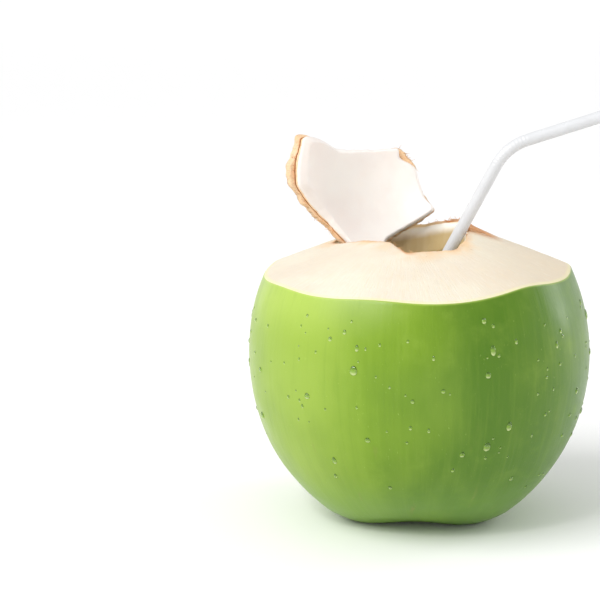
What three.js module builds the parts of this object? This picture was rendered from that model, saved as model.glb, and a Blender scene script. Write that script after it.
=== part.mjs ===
// A young green coconut, trimmed and opened for drinking: the nut stands on the flat spot of its
// three-lobed base, the piece chopped off its top stands in the mouth, and a flexible straw
// leans out of it.
//
// Millimetres, +Z up, the drinker's side is -Y. The origin is the middle of the flat spot.

import * as THREE from 'three';

// ---- the nut's outer skin: an egg-shaped ellipsoid, cut flat below ----
const GIRTH_RADIUS = 84.7;
const HALF_HEIGHT = 92.5;
const GIRTH_HEIGHT = 82;
const LOBES = 3;
const LOBE_DIRECTION = degrees(-32);
const GROOVE_AT_GIRTH = 0.015; // depth of the grooves between the lobes, as a share of the radius
const GROOVE_AT_BASE = 0.28;
const GROOVE_FADE_HEIGHT = 13;
const SPOT_SHARE = 0.9; // the flat spot's reach, as a share of the skin's at height 0
const SKIN_FOOT_HEIGHT = 1.5; // the skin starts here, a small bevel above the flat spot

// ---- the knife strokes that trimmed the husk: each is a plane that falls away outwards ----
// direction it faces, slope, and its height at STROKE_RADIUS from the axis
const STROKE_RADIUS = 76;
const STROKES = [
  { facing: degrees(-83), slope: degrees(19.7), height: 120.8 },
  { facing: degrees(-25), slope: degrees(19.2), height: 123.8 },
  { facing: degrees(20), slope: degrees(22.4), height: 123.5 },
  { facing: degrees(62), slope: degrees(23.8), height: 124.7 },
  { facing: degrees(105), slope: degrees(23.3), height: 122.4 },
  { facing: degrees(148), slope: degrees(23.9), height: 123.8 },
  { facing: degrees(-168), slope: degrees(18.2), height: 122.1 },
  { facing: degrees(-125), slope: degrees(20.3), height: 121.5 },
];
const STROKE_BLEND = 1.2; // how softly one stroke runs into the next
const CUT_HEIGHT_GUESS = 122; // where the trimming meets the skin, before it is settled by rounds
const CUT_HEIGHT_ROUNDS = 12;

// ---- the mouth chopped through the top, and the water cavity under it ----
const MOUTH_CENTRE = new THREE.Vector2(-5, 2);
const MOUTH_CORNERS = [
  [23, -12], [18, -26], [-5, -31], [-12.5, -18.5], [-43.3, 15],
  [-34, 33], [4, 34.5], [21, 24], [24.7, 6],
];
const MOUTH_WALL_DEPTH = 10;
const MOUTH_WALL_INSET = 3.5;
const CAVITY_RADIUS = 48;
const CAVITY_HALF_HEIGHT = 58;
const CAVITY_CENTRE_HEIGHT = 78;
const CAVITY_SETTLE_SHARE = 0.3; // the mouth's outline fades out over this share of the cavity

// ---- the piece chopped off the top: a curved slab of husk, shell and meat ----
const LID_INNER_RADIUS = 52;
const LID_THICK_EDGE = 8; // at its -X end, where husk is left on the shell
const LID_THIN_EDGE = 3.5;
const LID_HALF_LENGTH = 40;
const LID_MIDDLE = new THREE.Vector3(-29, 30.5, 161.5);
const LID_TURN = degrees(20); // its hollow side faces the drinker, turned this far to +X
const LID_TILT = degrees(12); // and this far upwards
const LID_CORNERS = [
  [37.5, -16.5], [35, -9], [31, 7], [22, 18], [7, 17], [-5, 19], [-20, 25], [-39, 27],
  [-43, 15], [-38, 4], [-29, -8], [-20.5, -18], [-13, -28], [-10, -37], [4, -38], [9, -30],
];

// ---- the straw ----
const STRAW_RADIUS = 3;
const STRAW_BORE_RADIUS = 2.6;
const STRAW_AT_MOUTH = new THREE.Vector3(20.6, 0, 142.6);
const STRAW_LEAN = degrees(28.4); // of the long arm, from the vertical towards +X
const STRAW_FOOT_HEIGHT = 48;
const STRAW_ELBOW_HEIGHT = 183.8;
const STRAW_BEND_REACH = 11; // from the elbow to where each arm begins to bend
const STRAW_TOP_ARM = 57;
const STRAW_TOP_RISE = degrees(17.4);

// ---- mesh fineness ----
const NUT_SEGMENTS = 72;
const SPOT_ROWS = 4;
const SKIN_ROWS = 17;
const TRIM_ROWS = 8;
const WALL_ROWS = 3;
const CAVITY_ROWS = 11;
const LID_SEGMENTS = 48;
const LID_ROWS = 9; // on each of its two faces
const STRAW_SIDES = 14;
const STRAW_STEPS = 48;
const OUTLINE_SOFTENING = degrees(6); // corners of an outline are rounded over this angle

function degrees(angle) {
  return THREE.MathUtils.degToRad(angle);
}

function cross2(ax, ay, bx, by) {
  return ax * by - ay * bx;
}

// How far the outline through the corners lies from the centre, in one direction.
function sharpReach(corners, centre, angle) {
  const dx = Math.cos(angle);
  const dy = Math.sin(angle);
  let reach = 0;
  corners.forEach(([x, y], i) => {
    const [nextX, nextY] = corners[(i + 1) % corners.length];
    const edgeX = nextX - x;
    const edgeY = nextY - y;
    const across = cross2(dx, dy, edgeX, edgeY);
    if (Math.abs(across) < 1e-9) return;
    const along = cross2(x - centre.x, y - centre.y, edgeX, edgeY) / across;
    const share = cross2(x - centre.x, y - centre.y, dx, dy) / across;
    if (along > 0 && share >= -1e-6 && share <= 1 + 1e-6) reach = Math.max(reach, along);
  });
  return reach;
}

// The same, with the corners rounded by averaging over a small angle.
function softReach(corners, centre, angle) {
  const offsets = [-1, -0.5, 0, 0.5, 1];
  const total = offsets.reduce(
    (sum, k) => sum + sharpReach(corners, centre, angle + k * OUTLINE_SOFTENING), 0);
  return total / offsets.length;
}

// A closed solid from the topology of a lathe: place(station, angle) gives each vertex's position.
// The first and last stations lie on the axis, which closes it.
function shapedLathe(stations, segments, place) {
  const profile = stations.map((station) => {
    const p = place(station, 0);
    return new THREE.Vector2(Math.abs(p.x), p.z);
  });
  const geometry = new THREE.LatheGeometry(profile, segments);
  const position = geometry.attributes.position;
  for (let i = 0; i <= segments; i += 1) {
    const angle = ((i % segments) / segments) * 2 * Math.PI;
    stations.forEach((station, j) => {
      const p = place(station, angle);
      position.setXYZ(i * stations.length + j, p.x, p.y, p.z);
    });
  }
  geometry.computeVertexNormals();
  return geometry;
}

// A stretch of stations, with t running evenly from one end to the other.
function zone(name, rows, from = 0, to = 1) {
  return Array.from({ length: rows }, (_, k) => ({
    name,
    t: THREE.MathUtils.lerp(from, to, k / (rows - 1)),
  }));
}

// ---- the nut ----

function skinRadius(height, angle) {
  const level = (height - GIRTH_HEIGHT) / HALF_HEIGHT;
  const round = GIRTH_RADIUS * Math.sqrt(1 - level * level);
  const groove = GROOVE_AT_GIRTH + GROOVE_AT_BASE * Math.exp(-height / GROOVE_FADE_HEIGHT);
  const between = (1 - Math.cos(LOBES * (angle - LOBE_DIRECTION))) / 2;
  return round * (1 - groove * between);
}

// Height of the trimmed husk over a point of the plan: the lowest stroke, softly blended.
function trimHeight(x, y) {
  const heights = STROKES.map(({ facing, slope, height }) => {
    const out = x * Math.cos(facing) + y * Math.sin(facing);
    return height - Math.tan(slope) * (out - STROKE_RADIUS);
  });
  const lowest = Math.min(...heights);
  const blend = heights.reduce((sum, h) => sum + Math.exp(-(h - lowest) / STROKE_BLEND), 0);
  return lowest - STROKE_BLEND * Math.log(blend);
}

// Where the trimming meets the skin: the height that both have in one direction.
function cutHeight(angle) {
  let height = CUT_HEIGHT_GUESS;
  for (let round = 0; round < CUT_HEIGHT_ROUNDS; round += 1) {
    const radius = skinRadius(height, angle);
    height = trimHeight(radius * Math.cos(angle), radius * Math.sin(angle));
  }
  return height;
}

function rimPoint(angle) {
  const reach = softReach(MOUTH_CORNERS, MOUTH_CENTRE, angle);
  const x = MOUTH_CENTRE.x + reach * Math.cos(angle);
  const y = MOUTH_CENTRE.y + reach * Math.sin(angle);
  return new THREE.Vector3(x, y, trimHeight(x, y));
}

function mouthWallPoint(share, angle) {
  const rim = rimPoint(angle);
  const inset = share * MOUTH_WALL_INSET;
  return new THREE.Vector3(
    rim.x - inset * Math.cos(angle),
    rim.y - inset * Math.sin(angle),
    rim.z - share * MOUTH_WALL_DEPTH);
}

// The cavity is an ellipsoid; near the mouth it runs on from the foot of the mouth's wall.
function cavityPoint(share, angle) {
  const start = mouthWallPoint(1, angle);
  const startTurn = Math.asin(Math.hypot(start.x, start.y) / CAVITY_RADIUS);
  const turn = THREE.MathUtils.lerp(startTurn, Math.PI, share);
  const radius = CAVITY_RADIUS * Math.sin(turn);
  const round = new THREE.Vector3(
    radius * Math.cos(angle),
    radius * Math.sin(angle),
    CAVITY_CENTRE_HEIGHT + CAVITY_HALF_HEIGHT * Math.cos(turn));
  const settle = Math.min(share / CAVITY_SETTLE_SHARE, 1);
  return start.lerp(round, settle * settle * (3 - 2 * settle));
}

function nutPoint({ name, t }, angle) {
  if (name === 'spot') {
    const reach = t * SPOT_SHARE * skinRadius(0, angle);
    return new THREE.Vector3(reach * Math.cos(angle), reach * Math.sin(angle), 0);
  }
  if (name === 'skin') {
    const top = cutHeight(angle);
    const firstTurn = Math.acos((GIRTH_HEIGHT - SKIN_FOOT_HEIGHT) / HALF_HEIGHT);
    const lastTurn = Math.acos((GIRTH_HEIGHT - top) / HALF_HEIGHT);
    const turn = THREE.MathUtils.lerp(firstTurn, lastTurn, t);
    const height = GIRTH_HEIGHT - HALF_HEIGHT * Math.cos(turn);
    const radius = skinRadius(height, angle);
    return new THREE.Vector3(radius * Math.cos(angle), radius * Math.sin(angle), height);
  }
  if (name === 'trim') {
    const top = cutHeight(angle);
    const radius = skinRadius(top, angle);
    const rim = rimPoint(angle);
    const x = THREE.MathUtils.lerp(radius * Math.cos(angle), rim.x, t);
    const y = THREE.MathUtils.lerp(radius * Math.sin(angle), rim.y, t);
    return new THREE.Vector3(x, y, trimHeight(x, y));
  }
  if (name === 'wall') return mouthWallPoint(t, angle);
  return cavityPoint(t, angle);
}

function makeNut() {
  const stations = [
    ...zone('spot', SPOT_ROWS),
    ...zone('skin', SKIN_ROWS),
    ...zone('trim', TRIM_ROWS, 1 / TRIM_ROWS, 1),
    ...zone('wall', WALL_ROWS, 1 / WALL_ROWS, 1),
    ...zone('cavity', CAVITY_ROWS, 1 / CAVITY_ROWS, 1),
  ];
  const geometry = shapedLathe(stations, NUT_SEGMENTS, nutPoint);
  const material = new THREE.MeshStandardMaterial({ color: 0x82a93c, roughness: 0.38 });
  return new THREE.Mesh(geometry, material);
}

// ---- the piece chopped off the top ----

// A dish with its hollow side up: distances along the sphere keep the outline's size.
function lidPoint({ name, t }, angle) {
  const reach = softReach(LID_CORNERS, new THREE.Vector2(0, 0), angle);
  const distance = (name === 'inside' ? 1 - t : t) * reach;
  const along = (distance * Math.cos(angle)) / LID_HALF_LENGTH;
  const thickness = THREE.MathUtils.mapLinear(along, -1, 1, LID_THICK_EDGE, LID_THIN_EDGE);
  const radius = LID_INNER_RADIUS + (name === 'inside' ? 0 : thickness);
  const turn = distance / LID_INNER_RADIUS;
  return new THREE.Vector3(
    radius * Math.sin(turn) * Math.cos(angle),
    radius * Math.sin(turn) * Math.sin(angle),
    -radius * Math.cos(turn));
}

function makeLid() {
  const stations = [...zone('outside', LID_ROWS), ...zone('inside', LID_ROWS)];
  const geometry = shapedLathe(stations, LID_SEGMENTS, lidPoint);
  const material = new THREE.MeshStandardMaterial({ color: 0xf3eee6, roughness: 0.6 });
  const mesh = new THREE.Mesh(geometry, material);
  mesh.rotation.set(Math.PI / 2 - LID_TILT, 0, LID_TURN, 'ZYX');
  const hollowSide = new THREE.Vector3(0, 0, 1).applyEuler(mesh.rotation);
  mesh.position.copy(LID_MIDDLE).addScaledVector(hollowSide, LID_INNER_RADIUS);
  return mesh;
}

// ---- the straw ----

function strawPath() {
  const up = new THREE.Vector3(Math.sin(STRAW_LEAN), 0, Math.cos(STRAW_LEAN));
  const out = new THREE.Vector3(Math.cos(STRAW_TOP_RISE), 0, Math.sin(STRAW_TOP_RISE));
  const along = (height) => STRAW_AT_MOUTH.clone()
    .addScaledVector(up, (height - STRAW_AT_MOUTH.z) / up.z);
  const foot = along(STRAW_FOOT_HEIGHT);
  const elbow = along(STRAW_ELBOW_HEIGHT);
  const bendStart = elbow.clone().addScaledVector(up, -STRAW_BEND_REACH);
  const bendEnd = elbow.clone().addScaledVector(out, STRAW_BEND_REACH);
  const tip = elbow.clone().addScaledVector(out, STRAW_TOP_ARM);
  const path = new THREE.CurvePath();
  path.add(new THREE.LineCurve3(foot, bendStart));
  path.add(new THREE.QuadraticBezierCurve3(bendStart, elbow, bendEnd));
  path.add(new THREE.LineCurve3(bendEnd, tip));
  return path;
}

function circlePoints(radius) {
  return Array.from({ length: STRAW_SIDES }, (_, k) => {
    const angle = (k / STRAW_SIDES) * 2 * Math.PI;
    return new THREE.Vector2(radius * Math.cos(angle), radius * Math.sin(angle));
  });
}

function makeStraw() {
  const section = new THREE.Shape(circlePoints(STRAW_RADIUS));
  section.holes.push(new THREE.Path(circlePoints(STRAW_BORE_RADIUS)));
  const geometry = new THREE.ExtrudeGeometry(section, {
    steps: STRAW_STEPS,
    extrudePath: strawPath(),
  });
  const material = new THREE.MeshStandardMaterial({ color: 0xf2f1f4, roughness: 0.3 });
  return new THREE.Mesh(geometry, material);
}

function named(mesh, name) {
  mesh.name = name;
  return mesh;
}

const openedCoconut = new THREE.Group();
openedCoconut.add(named(makeNut(), 'coconut'));
openedCoconut.add(named(makeLid(), 'shell_lid'));
openedCoconut.add(named(makeStraw(), 'straw'));

export default openedCoconut;
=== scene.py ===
"""A young green coconut, trimmed and opened for drinking, with the piece chopped off its top
standing in the mouth and a white flexible straw.

The shapes are worked out in millimetres and are turned into metres once, in new_piece(). The
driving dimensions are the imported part's, apart from the ones that a comment calls looks only.
"""

import math
import random

import bpy
import numpy as np
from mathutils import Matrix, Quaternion, Vector, noise


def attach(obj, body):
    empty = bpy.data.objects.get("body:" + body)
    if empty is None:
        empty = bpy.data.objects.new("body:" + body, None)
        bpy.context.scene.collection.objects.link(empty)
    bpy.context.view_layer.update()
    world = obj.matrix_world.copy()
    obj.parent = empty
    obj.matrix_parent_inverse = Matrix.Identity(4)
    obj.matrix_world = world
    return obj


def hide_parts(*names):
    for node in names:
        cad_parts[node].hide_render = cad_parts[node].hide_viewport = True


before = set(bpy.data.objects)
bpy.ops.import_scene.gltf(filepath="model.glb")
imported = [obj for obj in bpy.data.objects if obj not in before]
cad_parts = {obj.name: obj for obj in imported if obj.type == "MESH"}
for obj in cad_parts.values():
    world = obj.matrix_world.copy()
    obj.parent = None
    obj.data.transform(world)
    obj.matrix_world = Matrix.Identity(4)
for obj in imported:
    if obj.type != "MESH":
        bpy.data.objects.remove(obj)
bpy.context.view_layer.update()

MM = 0.001
TURN = 2 * math.pi
UP = Vector((0, 0, 1))
TINY = 1e-9
SLACK = 1e-6
random.seed(7)

# ---- the nut ----
GIRTH_RADIUS = 84.7
HALF_HEIGHT = 92.5
GIRTH_HEIGHT = 82.0
LOBES = 3
LOBE_DIRECTION = math.radians(-32)
GROOVE_AT_GIRTH = 0.015
GROOVE_AT_BASE = 0.28
GROOVE_FADE_HEIGHT = 13.0

# direction each knife stroke faces, its slope, and its height at STROKE_RADIUS
STROKE_RADIUS = 76.0
STROKES = [
    (-83, 19.7, 120.8), (-25, 19.2, 123.8), (20, 22.4, 123.5), (62, 23.8, 124.7),
    (105, 23.3, 122.4), (148, 23.9, 123.8), (-168, 18.2, 122.1), (-125, 20.3, 121.5),
]
STROKE_BLEND = 1.6

MOUTH_CENTRE = (-5.0, 2.0)
MOUTH_CORNERS = [
    (23, -12), (18, -26), (-5, -31), (-12.5, -18.5), (-43.3, 15),
    (-34, 33), (4, 34.5), (21, 24), (24.7, 6),
]
MOUTH_WALL_INSET = 3.5
CAVITY_RADIUS = 48.0
CAVITY_HALF_HEIGHT = 58.0
CAVITY_CENTRE_HEIGHT = 78.0

# looks only
GROOVE_ARCH = 2.4  # how far the underside arches up between the lobes
MOUTH_WALL_DEPTH = 15.0
TORN_LIFT = 2.6  # how far torn husk stands up round the rim

# ---- the piece chopped off the top ----
LID_INNER_RADIUS = 52.0
LID_THICK_EDGE = 8.0
LID_THIN_EDGE = 3.5
LID_HALF_LENGTH = 40.0
LID_MIDDLE = Vector((-29, 30.5, 161.5))
LID_TURN = math.radians(20)
LID_TILT = math.radians(12)

# looks only: the outline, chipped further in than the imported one, and the extra husk in a corner
LID_CORNERS = [
    (37.5, -16.5), (32, -10), (29.5, 1), (28, 7), (20.5, 17.5), (7, 17), (-7, 17.5), (-13, 18.5),
    (-20, 22.5), (-27, 25), (-34, 25.5), (-34.5, 19), (-36, 9), (-37, 1), (-30, -8),
    (-20.5, -18), (-13, -28), (-10, -37), (4, -38), (9, -30),
]
LID_CORNER_HUSK = 1.8

# ---- the straw ----
STRAW_RADIUS = 3.0
STRAW_BORE_RADIUS = 2.6
STRAW_AT_MOUTH = Vector((20.6, 0, 142.6))
STRAW_LEAN = math.radians(28.4)
STRAW_FOOT_HEIGHT = 48.0
STRAW_ELBOW_HEIGHT = 183.8
STRAW_BEND_REACH = 11.0
STRAW_TOP_ARM = 57.0
STRAW_TOP_RISE = math.radians(17.4)

# ---- mesh fineness ----
NUT_SEGMENTS = 360
SPOT_ROWS, FOOT_ROWS, SKIN_ROWS, HUSK_ROWS, WALL_ROWS, CAVITY_ROWS = 24, 18, 96, 56, 14, 44
LID_SEGMENTS = 300
LID_FACE_ROWS = 46
STRAW_SIDES = 28
STRAW_LOWER_STEPS, STRAW_BEND_STEPS, STRAW_UPPER_STEPS = 24, 160, 12


# -------- outlines and noise

def outline_reach(corners, centre, angles, softening):
    """How far the outline through the corners lies from the centre, its corners rounded."""
    corners = np.array(corners, float) - centre
    edges = np.roll(corners, -1, axis=0) - corners
    total = np.zeros(len(angles))
    offsets = (-1, -0.5, 0, 0.5, 1)
    for offset in offsets:
        dx = np.cos(angles + offset * softening)[:, None]
        dy = np.sin(angles + offset * softening)[:, None]
        across = dx * edges[:, 1] - dy * edges[:, 0]
        across[np.abs(across) < TINY] = TINY
        along = (corners[:, 0] * edges[:, 1] - corners[:, 1] * edges[:, 0]) / across
        share = (corners[:, 0] * dy - corners[:, 1] * dx) / across
        hit = (along > 0) & (share >= -SLACK) & (share <= 1 + SLACK)
        total += np.where(hit, along, 0).max(axis=1)
    return total / len(offsets)


def noise_at(points, size, seed=0.0):
    """Smooth noise between about -1 and 1, with features about size across."""
    flat = np.reshape(points, (-1, 3)) / size + seed
    values = [noise.noise(Vector(p)) for p in flat]
    return np.reshape(values, np.shape(points)[:-1])


def noise_layers(points, layers):
    """Noise in layers, each with a size, a seed and a height."""
    return sum(height * noise_at(points, size, seed) for size, seed, height in layers)


def ring_noise(angles, waves, seed):
    """Noise round a closed outline, with about that many waves in a turn."""
    reach = waves / TURN
    points = np.stack(
        [np.cos(angles) * reach, np.sin(angles) * reach, np.full_like(angles, seed)], axis=-1)
    return noise_at(points, 1.0)


def ring_layers(angles, layers):
    """Noise round an outline in layers, each with a number of waves, a seed and a height."""
    return sum(height * ring_noise(angles, waves, seed) for waves, seed, height in layers)


def smooth_step(value, low, high):
    """0 below low, 1 above high, and a smooth rise between."""
    share = np.clip((value - low) / (high - low), 0, 1)
    return share * share * (3 - 2 * share)


def round_bumps(angles, bumps):
    """Soft bumps round a turn, each a direction and a width in degrees, and a height."""
    total = np.zeros_like(angles)
    for direction, width, height in bumps:
        gap = np.angle(np.exp(1j * (angles - math.radians(direction))))
        total += height * np.exp(-(gap / math.radians(width)) ** 2)
    return total


# -------- meshes

def new_object(name, data):
    made = bpy.data.objects.new(name, data)
    bpy.context.scene.collection.objects.link(made)
    return made


def new_piece(name, points, faces, materials, face_materials=None, attributes=None):
    """A mesh object from points in millimetres."""
    mesh = bpy.data.meshes.new(name)
    mesh.from_pydata((np.asarray(points) * MM).tolist(), [], faces)
    for material in materials:
        mesh.materials.append(material)
    if face_materials is not None:
        mesh.polygons.foreach_set("material_index", np.asarray(face_materials, dtype=np.int32))
    for key, values in (attributes or {}).items():
        values = np.asarray(values, dtype=np.float32)
        kind = "FLOAT_VECTOR" if values.ndim == 2 else "FLOAT"
        layer = mesh.attributes.new(key, kind, "POINT")
        layer.data.foreach_set("vector" if values.ndim == 2 else "value", values.ravel())
    mesh.polygons.foreach_set("use_smooth", [True] * len(mesh.polygons))
    mesh.update()
    return new_object(name, mesh)


def ringed_faces(rings, sides):
    """Faces for a stack of rings, then a tip and a base. The points come in that order."""
    tip, base = rings * sides, rings * sides + 1
    faces = []
    for k in range(sides):
        n = (k + 1) % sides
        for ring in range(rings - 1):
            low, high = ring * sides, (ring + 1) * sides
            faces.append((low + k, low + n, high + n, high + k))
        faces.append(((rings - 1) * sides + k, (rings - 1) * sides + n, tip))
        faces.append((n, k, base))
    return faces


class RoundGrid:
    """A closed surface of rings, from one pole to the other, built up row by row."""

    def __init__(self, segments):
        self.segments = segments
        self.angles = np.arange(segments) / segments * TURN
        self.rows = []
        self.row_values = {}
        self.band_materials = []

    def add(self, row, material, **values):
        """One ring: its points, the material of the band below it, and its attributes."""
        self.rows.append(row)
        self.band_materials.append(material)
        for key, value in values.items():
            self.row_values.setdefault(key, []).append(value)

    def points(self):
        return self.joined(self.rows)

    def attributes(self):
        return {key: self.joined(rows) for key, rows in self.row_values.items()}

    @staticmethod
    def joined(rows):
        """All rows in one array, with the first and the last, the poles, as one point each."""
        return np.concatenate([rows[0][:1], *rows[1:-1], rows[-1][:1]])

    def faces(self):
        """The faces, and the material of each."""
        faces, materials = [], []
        count, last = self.segments, len(self.rows) - 1
        top = 1 + (last - 1) * count
        for row in range(last):
            material = self.band_materials[row + 1]
            low, high = 1 + (row - 1) * count, 1 + row * count
            for j in range(count):
                k = (j + 1) % count
                if row == 0:
                    faces.append((0, high + k, high + j))
                elif row == last - 1:
                    faces.append((low + j, low + k, top))
                else:
                    faces.append((low + j, low + k, high + k, high + j))
                materials.append(material)
        return faces, materials


# -------- shader helpers

class Shader:
    """A material's node tree, with short calls for the nodes that repeat."""

    def __init__(self, name):
        self.material = bpy.data.materials.new(name)
        self.material.use_nodes = True
        self.tree = self.material.node_tree
        self.surface = self.tree.nodes["Principled BSDF"]

    def node(self, kind, inputs=None, **settings):
        made = self.tree.nodes.new(kind)
        for key, value in settings.items():
            setattr(made, key, value)
        for key, value in (inputs or {}).items():
            self.put(made.inputs[key], value)
        return made

    def put(self, socket, value):
        if isinstance(value, bpy.types.NodeSocket):
            self.tree.links.new(value, socket)
        else:
            socket.default_value = value

    def set(self, **values):
        for key, value in values.items():
            self.put(self.surface.inputs[key.replace("_", " ")], value)

    def let_light_in(self, weight, radius):
        """Light spreads under the surface, that far in red, green and blue."""
        self.set(Subsurface_Weight=weight, Subsurface_Radius=radius, Subsurface_Scale=1.0)

    def place(self):
        return self.node("ShaderNodeTexCoord").outputs["Object"]

    def part_of(self, vector, axis):
        return self.node("ShaderNodeSeparateXYZ", {0: vector}).outputs[axis]

    def attribute(self, name, output="Fac"):
        return self.node("ShaderNodeAttribute", attribute_name=name).outputs[output]

    def grain(self):
        return self.attribute("grain", "Vector")

    def scaled(self, vector, scale):
        made = self.node("ShaderNodeVectorMath", {0: vector, 1: scale}, operation="MULTIPLY")
        return made.outputs[0]

    def noise(self, vector, scale, detail=3.0, roughness=0.55):
        made = self.node("ShaderNodeTexNoise", {
            "Vector": vector, "Scale": scale, "Detail": detail, "Roughness": roughness})
        return made.outputs["Fac"]

    def stretched_noise(self, vector, scale, detail, roughness=0.55):
        return self.noise(self.scaled(vector, scale), 1.0, detail, roughness)

    def ramp(self, value, low, high, to_low=0.0, to_high=1.0):
        made = self.node("ShaderNodeMapRange", {
            "Value": value, "From Min": low, "From Max": high, "To Min": to_low, "To Max": to_high},
            interpolation_type="SMOOTHSTEP")
        return made.outputs["Result"]

    def math(self, operation, first, second):
        made = self.node("ShaderNodeMath", {0: first, 1: second}, operation=operation)
        return made.outputs[0]

    def plus(self, first, second):
        return self.math("ADD", first, second)

    def times(self, first, second):
        return self.math("MULTIPLY", first, second)

    def mix(self, share, first, second):
        made = self.node("ShaderNodeMix", data_type="RGBA")
        self.put(made.inputs["Factor"], share)
        self.put(made.inputs[6], first)
        self.put(made.inputs[7], second)
        return made.outputs[2]

    def tint(self, tone, other, value, low, high, most):
        """The tone, with up to that share of another where the value goes from low to high."""
        return self.mix(self.ramp(value, low, high, 0.0, most), tone, other)

    def bump(self, height, distance, strength, under=None):
        inputs = {"Height": height, "Distance": distance, "Strength": strength}
        if under is not None:
            inputs["Normal"] = under
        return self.node("ShaderNodeBump", inputs).outputs["Normal"]


def colour(red, green, blue):
    """A colour given as it is seen on a screen, 0 to 255, as the linear one a shader takes."""
    def linear(value):
        value /= 255
        return value / 12.92 if value <= 0.04045 else ((value + 0.055) / 1.055) ** 2.4
    return (linear(red), linear(green), linear(blue), 1.0)


# -------- materials

def skin_material():
    s = Shader("green_skin")
    place, grain = s.place(), s.grain()
    height = s.part_of(place, "Z")
    side = s.part_of(place, "X")
    ripe = s.noise(place, 14.0, 2.0)
    mottle = s.noise(place, 70.0, 4.0, 0.6)
    streak = s.stretched_noise(grain, (0.42, 0.42, 0.020), 5.0, 0.65)
    fleck = s.stretched_noise(grain, (1.6, 1.6, 0.5), 2.0)
    deep, mid, pale = colour(80, 120, 12), colour(119, 153, 32), colour(148, 176, 64)
    # painted light: paler to the left and higher up, on the side where the light falls, broken into
    # wide patches
    lean = s.plus(s.times(side, -7.0), s.times(ripe, 0.5))
    lean = s.plus(lean, s.times(height, 1.2))
    tone = s.mix(s.ramp(lean, 0.21, 0.45), deep, mid)
    tone = s.mix(s.ramp(lean, 0.42, 0.76), tone, pale)
    # painted highlight: palest on the upper left shoulder, where the light falls most
    painted_light_shoulder = s.times(s.ramp(lean, 0.60, 0.85), s.ramp(height, 0.096, 0.118))
    tone = s.mix(painted_light_shoulder, tone, colour(170, 196, 86))
    blotch = s.stretched_noise(grain, (0.05, 0.05, 0.022), 3.0, 0.5)
    tone = s.tint(tone, pale, blotch, 0.42, 0.72, 0.20)
    tone = s.tint(tone, deep, blotch, 0.50, 0.26, 0.22)
    tone = s.tint(tone, pale, streak, 0.46, 0.74, 0.12)
    tone = s.tint(tone, deep, streak, 0.50, 0.26, 0.12)
    tone = s.tint(tone, pale, mottle, 0.50, 0.80, 0.22)
    tone = s.tint(tone, colour(196, 216, 120), fleck, 0.68, 0.80, 0.25)
    foot = s.ramp(height, 0.040, 0.004)
    tone = s.mix(s.times(foot, 0.45), tone, colour(124, 166, 60))
    scuff = s.stretched_noise(grain, (0.22, 0.22, 0.045), 5.0, 0.65)
    worn = s.times(s.ramp(scuff, 0.60, 0.74), s.ramp(height, 0.075, 0.02))
    tone = s.mix(s.times(worn, 0.55), tone, colour(142, 136, 70))
    edge = s.ramp(s.attribute("from_cut"), 1.6, 0.1)
    tone = s.mix(s.times(edge, 0.6), tone, colour(196, 214, 110))
    pores = s.noise(place, 900.0, 2.0)
    normal = s.bump(streak, 0.0005, 0.25)
    normal = s.bump(pores, 0.0002, 0.15, normal)
    s.set(Base_Color=tone, Roughness=s.ramp(mottle, 0.3, 0.8, 0.30, 0.42), Normal=normal)
    s.let_light_in(0.06, (0.003, 0.004, 0.001))
    s.set(Coat_Weight=0.10, Coat_Roughness=0.25, Specular_IOR_Level=0.32)
    return s.material


def scar_colours(s, tone, place):
    """The small round scar in the middle of the underside."""
    flat = s.scaled(place, (1.0, 1.0, 0.0))
    reach = s.node("ShaderNodeVectorMath", {0: flat}, operation="LENGTH").outputs["Value"]
    wobble = s.noise(place, 180.0)
    reach = s.plus(reach, s.times(wobble, 0.006))
    tone = s.mix(s.ramp(reach, 0.020, 0.012), tone, colour(150, 142, 84))
    return s.mix(s.ramp(reach, 0.0105, 0.008), tone, colour(92, 72, 44))


def underside_material():
    s = Shader("green_underside")
    place, grain = s.place(), s.grain()
    mottle = s.noise(place, 90.0, 4.0, 0.6)
    streak = s.stretched_noise(grain, (0.55, 0.55, 0.03), 4.0, 0.6)
    tone = s.mix(s.ramp(mottle, 0.3, 0.75), colour(84, 116, 46), colour(140, 160, 82))
    tone = scar_colours(s, tone, place)
    s.set(Base_Color=tone, Roughness=0.5, Normal=s.bump(streak, 0.0008, 0.4))
    return s.material


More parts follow.
